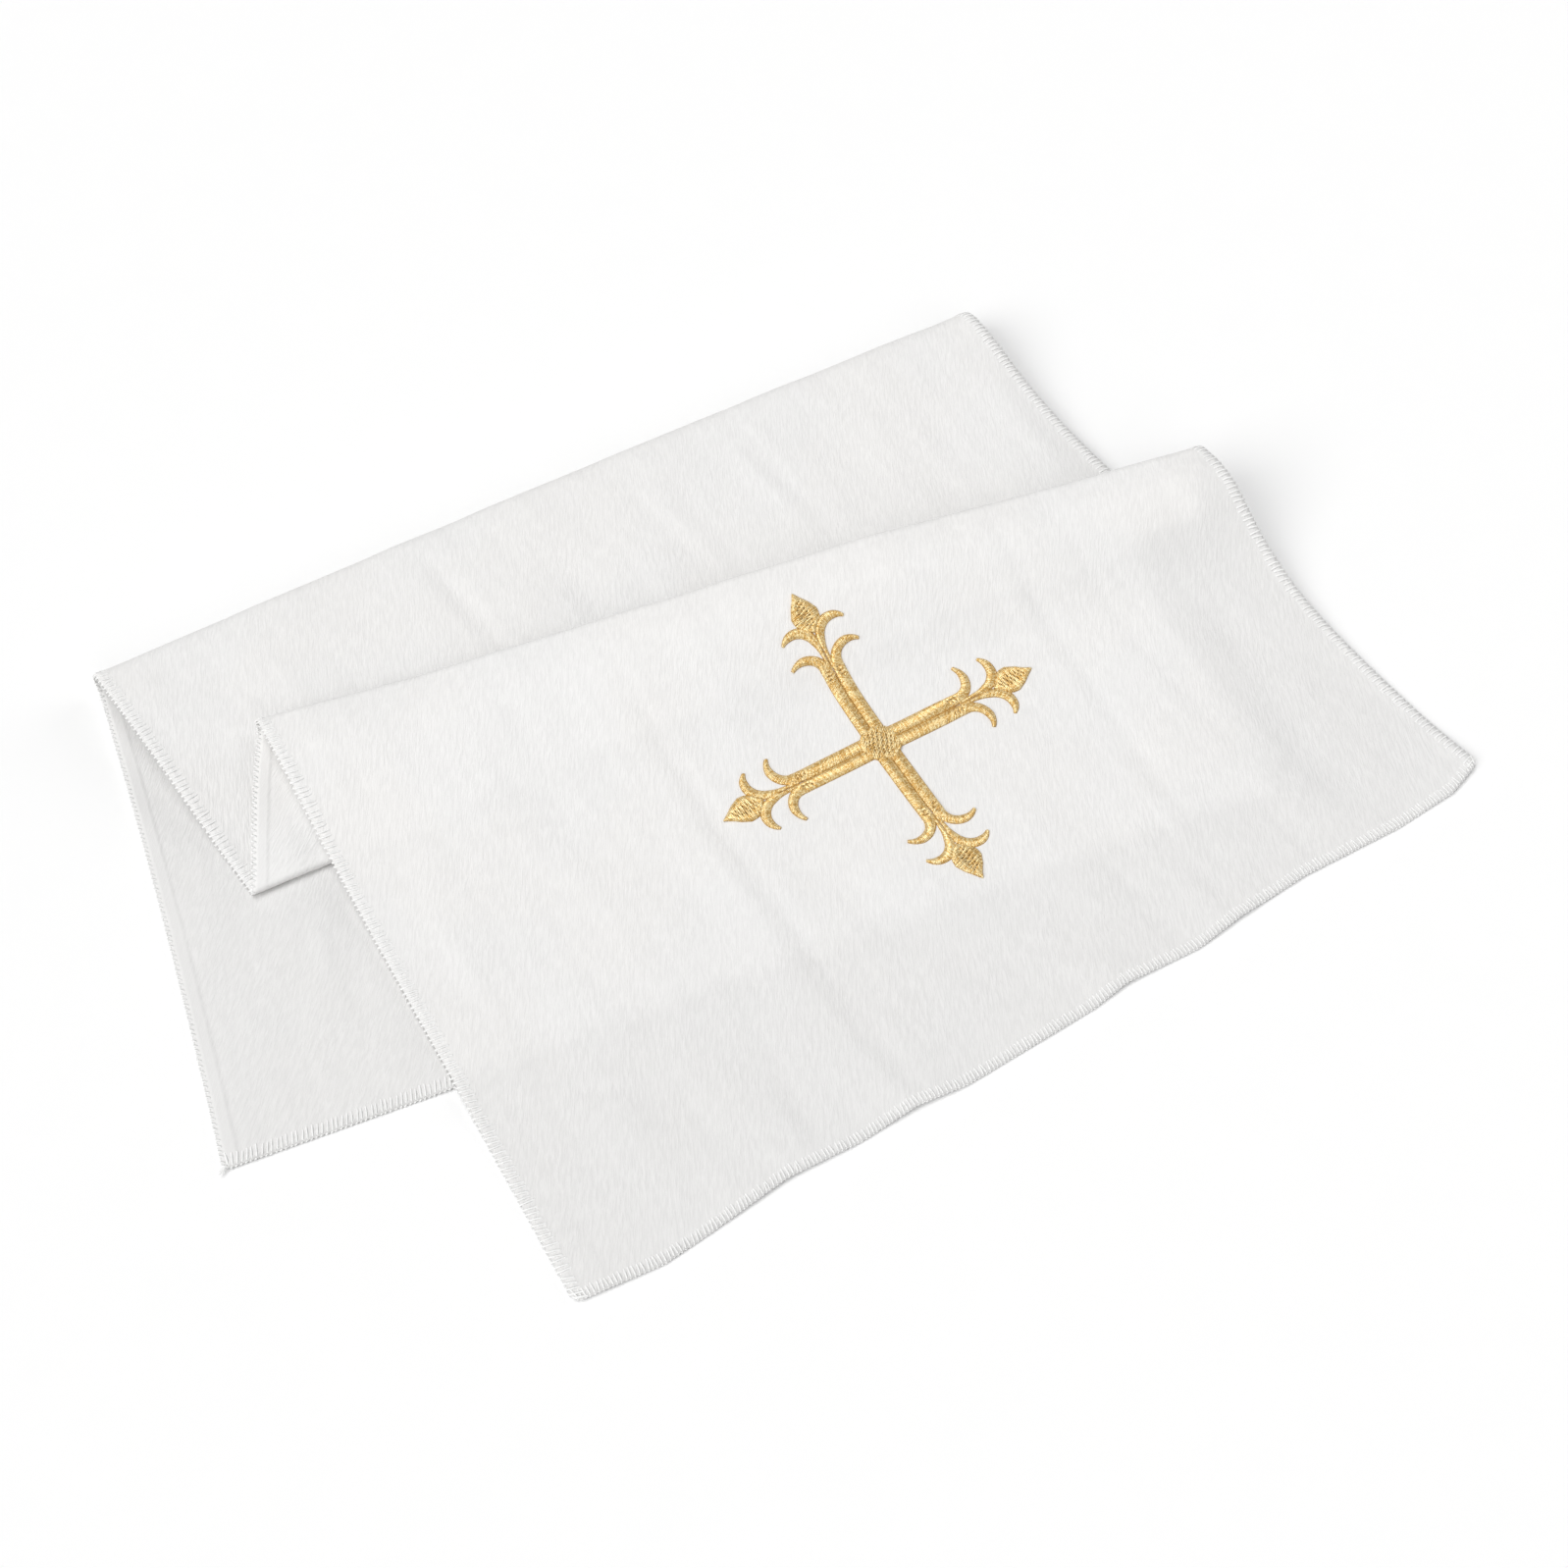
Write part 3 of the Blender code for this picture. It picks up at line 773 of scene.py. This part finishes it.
def cotton():
    """White crepe cotton: slanting streaks, fine threads, and painted shade, deepest on a single layer."""
    settings = {"Roughness": 0.92, "Sheen_Weight": 0.12, "Sheen_Roughness": 0.6, "Specular_IOR_Level": 0.25}
    finish = Finish("white_cotton", **settings)
    flat = finish.node("ShaderNodeUVMap", {"uv_map": FLAT_MAP})
    x = finish.node("ShaderNodeSeparateXYZ", None, {0: flat})
    y = x.output("Y")
    aside = x * math.cos(STREAK_ANGLE) + y * math.sin(STREAK_ANGLE)
    onward = y * math.cos(STREAK_ANGLE) - x * math.sin(STREAK_ANGLE)
    streaks = finish.noise(finish.place(aside / STREAK_SIZE[0], onward / STREAK_SIZE[1]), 1.0)
    threads = finish.noise(finish.place(aside / THREAD_SIZE[0], onward / THREAD_SIZE[1]), 1.0, 1.0)
    streaks, threads = (finish.smooth(noise, *WEAVE_RANGE) - 0.5 for noise in (streaks, threads))
    patches = finish.noise(finish.place(x, y), 1 / PATCH_SIZE, 1.0)
    warmth = finish.noise(finish.place(x, y), 1 / WARMTH_SIZE, 1.0)
    from_side = finish.math("MINIMUM", abs(x), CLOTH_FLAT[0] - abs(x))
    on_wrong_side = 1 - finish.smooth(x, -WRONG_SIDE_FROM, 0.0)
    band = (1 - finish.smooth(from_side, *SMOOTH_BAND)) * on_wrong_side
    from_line = abs(from_side - SMOOTH_BAND[1])
    # The band line is a groove in the bump, with painted shade along it.
    band_line = (1 - finish.smooth(from_line, 0.0, BAND_LINE_REACH)) * on_wrong_side
    crepe = (streaks * (LEAST_STREAKS + patches) + THREAD_SHARE * threads) * (1 - BAND_SMOOTHNESS * band)
    lengthwise = finish.noise(finish.place(x / LENGTHWISE_SIZE[0], y / LENGTHWISE_SIZE[1]), 1.0, 1.0) - 0.5
    # Painted shade on a single layer over the floor, in place of light passing through the thin cloth.
    painted_single_layer_shade = 1 - finish.smooth(finish.kept("layers_below"), 0.0, MANY_LAYERS)
    # The crepe also feeds painted shade into its troughs and painted light onto its crests.
    tone = 1.0
    for feature, change in zip((painted_single_layer_shade, crepe, lengthwise, band, band_line), COTTON_TONE_AND_SHADE):
        tone = tone + change * feature
    # The warm tint is weaker where the single-layer shade is painted.
    warm_share = (1 - LESS_WARM_ALONE * painted_single_layer_shade) * finish.smooth(warmth, *WARMTH_RANGE)
    finish.feed("Base Color", finish.tint(finish.blend(warm_share, COTTON_COOL, COTTON_WARM), tone))
    finish.bump(crepe + band - BAND_LINE_DEPTH * band_line, COTTON_RELIEF)
    return finish.material


def thread_finish(thread):
    """Sewing thread: tone by stitch, painted glints and shade by twist, painted shade at a stitch's ends.
    """
    finish = Finish(thread.name, Roughness=thread.roughness, Metallic=thread.metallic)
    tone, from_middle = finish.kept("tone"), finish.kept("from_middle")
    twist = finish.noise(finish.node("ShaderNodeTexCoord").output("Object"), TWIST_SCALE, 1.0)
    # The twist's noise paints glints and shade along the thread, following its bumps.
    brightness = thread.level + (tone - 0.5) * thread.stitch_change + (twist - 0.5) * thread.twist_change
    # Painted shade where the stitch dives into the cloth at its ends.
    brightness = brightness - END_PAINTED_SHADE * finish.smooth(from_middle, PAINTED_SHADE_FROM, 1.0)
    finish.feed("Base Color", finish.blend(brightness, thread.dark, thread.light))
    finish.bump(twist, TWIST_RELIEF)
    return finish.material


def pale_floor():
    finish = Finish("pale_floor", Roughness=0.95)
    place = finish.node("ShaderNodeTexCoord").output("Object")
    grain = finish.noise(place, FLOOR_GRAIN)
    finish.feed("Base Color", finish.blend(grain, FLOOR_DARK, FLOOR_LIGHT))
    return finish.material


def add_object(name, data):
    made = bpy.data.objects.new(name, data)
    bpy.context.scene.collection.objects.link(made)
    return made


def plain_mesh(name, points, faces):
    """A new object with these points in millimetres, in the scene."""
    mesh = bpy.data.meshes.new(name)
    mesh.from_pydata([Vector(point) * MM for point in points], [], faces)
    mesh.update()
    return add_object(name, mesh)


def settle(piece):
    """Turns what the piece's modifiers make into its plain mesh."""
    made = bpy.data.meshes.new_from_object(piece.evaluated_get(bpy.context.evaluated_depsgraph_get()))
    piece.modifiers.clear()
    spare = piece.data
    piece.data = made
    bpy.data.meshes.remove(spare)
    made.name = piece.name
    made.shade_smooth()
    return piece


def thicken(piece, thickness, material, even=False):
    """Gives a surface its thickness and its material, as a plain mesh."""
    solidify = piece.modifiers.new("Thickness", "SOLIDIFY")
    solidify.thickness = thickness * MM
    solidify.offset = 0.0
    solidify.use_even_offset = even
    piece.data.materials.append(material)
    return settle(piece)


def make_cloth(sheet, material):
    """The cotton itself: a closed thin sheet, with its flat places kept as a UV map in millimetres."""
    cloth = plain_mesh("cotton_cloth", sheet.points.reshape(-1, 3), sheet.quads)
    facts = (
        ("flat_x", "FLOAT", "value", sheet.x),
        ("flat_y", "FLOAT", "value", sheet.y),
        ("layers_below", "FLOAT", "value", sheet.layers_below()),
        ("wrong_side", "FLOAT_VECTOR", "vector", sheet.normals),
    )
    for name, kind, field, values in facts:
        attribute = cloth.data.attributes.new(name, kind, "POINT")
        attribute.data.foreach_set(field, values.astype(np.float32).ravel())
    mesh = thicken(cloth, SHEET_THICKNESS, material, even=True).data
    flat_x = [item.value for item in mesh.attributes["flat_x"].data]
    flat_y = [item.value for item in mesh.attributes["flat_y"].data]
    wrong_side = [item.vector for item in mesh.attributes["wrong_side"].data]
    uv_map = mesh.uv_layers.new(name=FLAT_MAP)
    for face in mesh.polygons:
        mirrored = face.normal.dot(wrong_side[face.vertices[0]]) > 0
        for loop in face.loop_indices:
            vertex = mesh.loops[loop].vertex_index
            uv_map.data[loop].uv = (-flat_x[vertex] if mirrored else flat_x[vertex], flat_y[vertex])
    for name in ("flat_x", "flat_y", "wrong_side"):
        mesh.attributes.remove(mesh.attributes[name])
    return cloth


def arc(centre, radius, start, end, steps):
    """Points along an arc, from one angle to another, in degrees."""
    angles = np.radians(np.linspace(start, end, steps + 1))
    return [(centre[0] + radius * math.cos(a), centre[1] + radius * math.sin(a)) for a in angles]


def along_line(line, ways):
    """The points at these distances along a line of points."""
    line = np.array(line, float)
    lengths = lengths_along(line)
    return np.stack([np.interp(ways, lengths, line[:, axis]) for axis in (0, 1)], axis=1)


def ribbon(path, widths):
    """The two rails of a stroke of satin stitch: a path with a width that changes evenly along it."""
    path = np.array(path, float)
    length = lengths_along(path)
    fine = along_line(path, np.linspace(0.0, length[-1], RIBBON_STEPS))
    along = np.gradient(fine, axis=0)
    along /= norm(along, axis=1)[:, None]
    aside = np.stack([-along[:, 1], along[:, 0]], axis=1)
    shares = np.linspace(0, 1, len(fine))
    half = np.interp(shares, np.linspace(0, 1, len(widths)), widths)[:, None] / 2
    return fine + aside * half, fine - aside * half


def stitches_between(first, second, slant):
    """Stitches from one rail to the other, each set onward at its far end by slant."""
    lengths = [lengths_along(rail)[-1] for rail in (first, second)]
    count = int(max(lengths) / STITCH_SPACING)
    shares = (np.arange(count) + 0.5) / count
    shift = slant / max(lengths)
    starts = along_line(first, np.clip(shares - shift / 2, 0, 1) * lengths[0])
    ends = along_line(second, np.clip(shares + shift / 2, 0, 1) * lengths[1])
    stitches = []
    for number, (start, end) in enumerate(zip(starts, ends)):
        pieces = math.ceil(norm(end - start) / LONGEST_STITCH)
        cuts = np.linspace(0.0, 1.0, pieces + 1)
        if pieces > 1:
            cuts[1:-1] += (number % 3 - 1) * CUT_STAGGER / pieces
        stitches += [(start + (end - start) * a, start + (end - start) * b) for a, b in zip(cuts, cuts[1:])]
    return stitches


def arm_rails():
    """The two rails, slant and lift of each stroke of one arm of the cross."""
    rails = []
    for stroke in STROKES:
        curl = arc(stroke.centre, stroke.radius, *stroke.angles, ARC_STEPS)
        inner, outer = ribbon([*stroke.stem, *curl], stroke.widths)
        for mirror in ((1, 1), (-1, 1)):
            rails.append((inner * mirror, outer * mirror, stroke.slant, stroke.lift))
    right_side = np.array([(row.half_width, row.along) for row in TIP])
    rails.append((right_side * (-1, 1), right_side, TIP_SLANT, TIP_LIFT))
    return rails


def cross_rails():
    """The two rails, slant and lift of every stroke of the cross, in millimetres about its middle."""
    rails = []
    for quarter in range(4):
        turn = math.radians(90 * quarter)
        spin = np.array([(math.cos(turn), math.sin(turn)), (-math.sin(turn), math.cos(turn))])
        rails += [(first @ spin, second @ spin, slant, lift) for first, second, slant, lift in arm_rails()]
    first, second = (
        np.array(arc((0, 0), ROSETTE_RADIUS, ROSETTE_START, end, ROSETTE_STEPS)) for end in ROSETTE_ENDS
    )
    rails.append((first, second, 0.0, ROSETTE_LIFT))
    return rails


def direction(degrees):
    return np.array((math.cos(math.radians(degrees)), math.sin(math.radians(degrees))))


class CrossPlace:
    """Lays the cross on the front panel, with distances along its upright measured on the cloth."""

    def __init__(self, sheet):
        self.sheet = sheet
        self.plan = np.arange(-CROSS_REACH, CROSS_REACH + 1.0)
        upright = [CROSS_CENTRE + direction(UPRIGHT_TURN) * way for way in self.plan]
        laid = lengths_along(np.array([sheet.over(place)[0] for place in upright]))
        self.laid = laid - np.interp(0.0, self.plan, laid)

    def at(self, point, lift):
        """The point lift above the face of the cloth, and the direction that it faces."""
        up = np.interp(point[1], self.laid, self.plan)
        place = CROSS_CENTRE + direction(CROSSBAR_TURN) * point[0] + direction(UPRIGHT_TURN) * up
        return self.sheet.over(place, SHEET_THICKNESS / 2 + lift)


def stored(tree, geometry, domain, name, value):
    """Geometry with a number kept on it by name."""
    inputs = {"Geometry": geometry, "Name": name, "Value": value}
    return tree.node("GeometryNodeStoreNamedAttribute", {"data_type": "FLOAT", "domain": domain}, inputs)


def stored_vector(tree, name):
    """A vector that is kept on each point by name."""
    return tree.node("GeometryNodeInputNamedAttribute", {"data_type": "FLOAT_VECTOR"}, {"Name": name})


def at_random(tree, low, high, seed):
    inputs = {"Min": low, "Max": high, "Seed": seed}
    return tree.node("FunctionNodeRandomValue", {"data_type": "FLOAT"}, inputs)


def thread_tube(tree, line, radius):
    """A tube along a line, narrower at its ends, that knows how far each place is from its middle."""
    from_middle = abs(tree.node("GeometryNodeSplineParameter") * 2 - 1)
    marked = stored(tree, line, "POINT", "from_middle", from_middle)
    narrowed = 1 - END_NARROWING * from_middle**NARROWING_POWER
    path = tree.node("GeometryNodeSetCurveRadius", None, {"Curve": marked, "Radius": narrowed})
    inputs = {"Resolution": THREAD_SIDES, "Radius": radius}
    ring = tree.node("GeometryNodeCurvePrimitiveCircle", None, inputs)
    inputs = {"Curve": path, "Profile Curve": ring, "Fill Caps": True}
    return tree.node("GeometryNodeCurveToMesh", None, inputs)


def thread_turn(tree, swing):
    """The turn of each point's thread: to its two axes, and aside at random by up to swing."""
    axes = {number: stored_vector(tree, name) for number, name in enumerate(("first_axis", "second_axis"))}
    turned = tree.node("FunctionNodeAxesToRotation", {"primary_axis": "X", "secondary_axis": "Z"}, axes)
    swinging = tree.node("ShaderNodeCombineXYZ", None, {2: at_random(tree, swing * -1, swing, SWING_SEED)})
    aside = tree.node("FunctionNodeEulerToRotation", None, {0: swinging})
    return tree.node("FunctionNodeRotateRotation", {"rotation_space": "LOCAL"}, {0: turned, 1: aside})


def thread_tree(name, material, curves):
    """A tree that sets a thread on every point, turned by its axes, and gives each one its own tone.

    curves makes the thread's lines in a tree, with x along the point's first axis and z along its second.
    """
    group = bpy.data.node_groups.new(name, "GeometryNodeTree")
    sockets = {}
    for label in ("Points", "Thread Radius", "Swing"):
        kind = "NodeSocketGeometry" if label == "Points" else "NodeSocketFloat"
        sockets[label] = group.interface.new_socket(label, in_out="INPUT", socket_type=kind)
    group.interface.new_socket("Threads", in_out="OUTPUT", socket_type="NodeSocketGeometry")
    tree = Tree(group)
    given = tree.node("NodeGroupInput")
    inputs = {
        "Points": given,
        "Instance": thread_tube(tree, curves(tree), given.output("Thread Radius")),
        "Rotation": thread_turn(tree, given.output("Swing")),
        "Scale": stored_vector(tree, "size"),
    }
    threads = tree.node("GeometryNodeInstanceOnPoints", None, inputs)
    toned = stored(tree, threads, "INSTANCE", "tone", at_random(tree, 0.0, 1.0, TONE_SEED))
    real = tree.node("GeometryNodeRealizeInstances", None, {0: toned})
    finished = tree.node("GeometryNodeSetMaterial", None, {"Geometry": real, "Material": material})
    tree.node("NodeGroupOutput", None, {0: finished})
    return group, sockets


def lay_threads(name, places, tree, radius, swing):
    """A piece made of threads, one on each place, which is (point, first axis, second axis, size)."""
    group, sockets = tree
    piece = plain_mesh(name, [place[0] for place in places], [])
    for column, attribute in ((1, "first_axis"), (2, "second_axis"), (3, "size")):
        values = np.array([place[column] for place in places], np.float32)
        stored_values = piece.data.attributes.new(attribute, "FLOAT_VECTOR", "POINT").data
        stored_values.foreach_set("vector", values.ravel())
    modifier = piece.modifiers.new("Threads", "NODES")
    modifier.node_group = group
    modifier[sockets["Thread Radius"].identifier] = radius * MM
    modifier[sockets["Swing"].identifier] = swing
    return settle(piece)


def bezier(tree, points, steps):
    """A curve in a tree, from its start, two handles and end."""
    inputs = dict(zip(("Start", "Start Handle", "End Handle", "End"), points))
    inputs["Resolution"] = steps
    return tree.node("GeometryNodeCurvePrimitiveBezierSegment", {"mode": "POSITION"}, inputs)


def satin_line(tree):
    """A stitch one unit long that stands up at its two ends and is nearly flat between them."""
    end, shoulder, dip, rise = 0.5, STITCH_SHOULDER, -STITCH_DIP * MM, STITCH_ARCH * MM
    points = ((-end, 0.0, dip), (-shoulder, 0.0, rise), (shoulder, 0.0, rise), (end, 0.0, dip))
    return bezier(tree, points, STITCH_STEPS)


def overlock_lines(overlock):
    """The loop of one overlock stitch: x goes inward from the edge, y along it, z to the cross's face.

    It stands taller here than it is laid, as each stitch is pressed flat by LOOP_FLATNESS.
    """
    top = SHEET_THICKNESS / 2 / LOOP_FLATNESS + overlock.radius * LOOP_SEAT
    slide = overlock.lean
    points = (
        (overlock.depth, -slide, top * LOOP_END_RISE),
        (-LOOP_ROUND_EDGE, -slide / 2, top * LOOP_RISE),
        (-LOOP_ROUND_EDGE, slide / 2, -top * LOOP_RISE),
        (overlock.under_depth, slide, -top * LOOP_END_RISE),
    )
    return lambda tree: bezier(tree, [tuple(value * MM for value in point) for point in points], LOOP_STEPS)


def make_cross(sheet, material):
    """The gold cross, stitch by stitch."""
    lay = CrossPlace(sheet)
    places = []
    for first, second, slant, lift in cross_rails():
        for start, end in stitches_between(first, second, slant):
            (a, _), (b, _) = lay.at(start, lift), lay.at(end, lift)
            point, face = lay.at((start + end) / 2, lift)
            length = norm(b - a)
            height = min(1.0, SHORTEST_STITCH_SHARE + length / LENGTH_FOR_FULL_SHARE)
            places.append((point, unit(b - a), face, (length * MM, 1.0, height)))
    tree = thread_tree("satin_stitches", material, satin_line)
    return lay_threads("gold_cross", places, tree, STITCH_RADIUS, STITCH_SWING)


def make_underlay(sheet, material):
    """The flat bed of thread under the stitches of the cross."""
    lay = CrossPlace(sheet)
    points, faces = [], []
    for first, second, _, lift in cross_rails():
        lengths = [lengths_along(rail)[-1] for rail in (first, second)]
        count = math.ceil(max(lengths))
        shares = np.linspace(0.0, 1.0, count + 1)
        rails = [along_line(rail, shares * length) for rail, length in zip((first, second), lengths)]
        for a, b in zip(*rails):
            past = unit(b - a + TINY) * UNDERLAY_REACH
            points += [lay.at(place, lift / 2)[0] for place in (a - past, (a + b) / 2, b + past)]
        base = len(points) - 3 * (count + 1)
        for row in range(count):
            for column in (0, 1):
                corner = base + 3 * row + column
                faces.append((corner, corner + 1, corner + 4, corner + 3))
    return thicken(plain_mesh("gold_underlay", points, faces), UNDERLAY_THICKNESS, material)


def edge_places(sheet, overlock, length, edge):
    """Places for the stitches of one edge. edge gives the flat place at a distance along it and inward."""
    count = round(length / overlock.spacing)
    uneven = random.Random(count)
    places = []
    for step in range(count):
        way = (step + 0.5 + uneven.uniform(-LOOP_UNEVENNESS, LOOP_UNEVENNESS)) * length / count
        outer, face = sheet.at(*edge(way, 0.0))
        inner, _ = sheet.at(*edge(way, overlock.depth))
        deep = 1.0 + uneven.uniform(-LOOP_UNEVENNESS, LOOP_UNEVENNESS)
        size = (deep, length / count / overlock.spacing, LOOP_FLATNESS)
        places.append((outer, unit(inner - outer), face, size))
    return places


def make_overlocking(sheet, material):
    """The overlocked thread round the cloth, as one piece for both sides and one for each end."""
    width = CLOTH_FLAT[0]
    left, right = (lengths[-1] for lengths in sheet.side_lengths)
    edges = {
        "side": (
            SIDE_OVERLOCK,
            (left, lambda way, inward: (inward, way)),
            (right, lambda way, inward: (width - inward, way)),
        ),
        "front": (
            HEM_OVERLOCK,
            (width, lambda way, inward: (way, sheet.length_at(way / width)[-1] - inward)),
        ),
        "first_hem": (FIRST_HEM_OVERLOCK, (width, lambda way, inward: (way, inward))),
    }
    made = []
    for name, (overlock, *runs) in edges.items():
        places = [place for run in runs for place in edge_places(sheet, overlock, *run)]
        tree = thread_tree(f"{name}_overlock", material, overlock_lines(overlock))
        made.append(lay_threads(f"{name}_overlocking", places, tree, overlock.radius, overlock.swing))
    return made


def make_tail(sheet, material):
    """The loose ends of thread at the front left corner of the lowest layer."""
    corner, face = sheet.at(*TAIL_PLACE)
    places = []
    for towards, length in TAIL_THREADS:
        outward = np.array((*direction(towards), 0.0))
        middle = corner + outward * length / 2 - face * TAIL_RISE
        places.append((middle, outward, -face, (length * MM, 1.0, TAIL_FLATNESS)))
    tree = thread_tree("loose_threads", material, satin_line)
    return lay_threads("corner_tail", places, tree, STITCH_RADIUS, 0.0)


def make_stage():
    """A plain pale floor, soft light and the photo's camera."""
    scene = bpy.context.scene
    corners = [(x * FLOOR_REACH, y * FLOOR_REACH, 0) for x, y in ((-1, -1), (1, -1), (1, 1), (-1, 1))]
    floor = plain_mesh("floor", corners, [(0, 1, 2, 3)])
    floor.data.materials.append(pale_floor())
    world = bpy.data.worlds.new("soft_room")
    world.use_nodes = True
    background = world.node_tree.nodes["Background"]
    background.inputs["Color"].default_value = (1.0, 1.0, 1.0, 1.0)
    background.inputs["Strength"].default_value = ROOM_LIGHT
    scene.world = world
    scene.view_settings.view_transform = "Standard"
    for name, towards, strength in LIGHTS:
        light = bpy.data.lights.new(name, "SUN")
        light.angle = LIGHT_SPREAD
        light.energy = strength
        add_object(name, light).rotation_euler = Vector(towards).to_track_quat("Z", "Y").to_euler()
    lens = bpy.data.cameras.new("camera")
    lens.lens = LENS_LENGTH
    lens.sensor_width = FILM_WIDTH
    scene.camera = add_object("camera", lens)
    scene.camera.location = CAMERA_PLACE
    scene.camera.rotation_euler = (math.radians(90 - CAMERA_DOWN), 0.0, math.radians(CAMERA_TURN))


def main():
    for leftover in list(bpy.data.objects):
        bpy.data.objects.remove(leftover)
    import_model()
    sheet = FoldedSheet()
    white, gold, gold_bed_painted_shade = (thread_finish(thread) for thread in (WHITE_THREAD, GOLD_THREAD, GOLD_BED))
    cloth = make_cloth(sheet, cotton())
    overlocking = [*make_overlocking(sheet, white), make_tail(sheet, white)]
    cross = make_cross(sheet, gold)
    underlay = make_underlay(sheet, gold_bed_painted_shade)
    for pieces, slot in (((cloth, *overlocking), "white_cotton"), ((cross, underlay), "gold_thread")):
        for piece in pieces:
            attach(piece, "root")
    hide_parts("cloth")
    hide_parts("embroidered_cross")
    make_stage()


main()
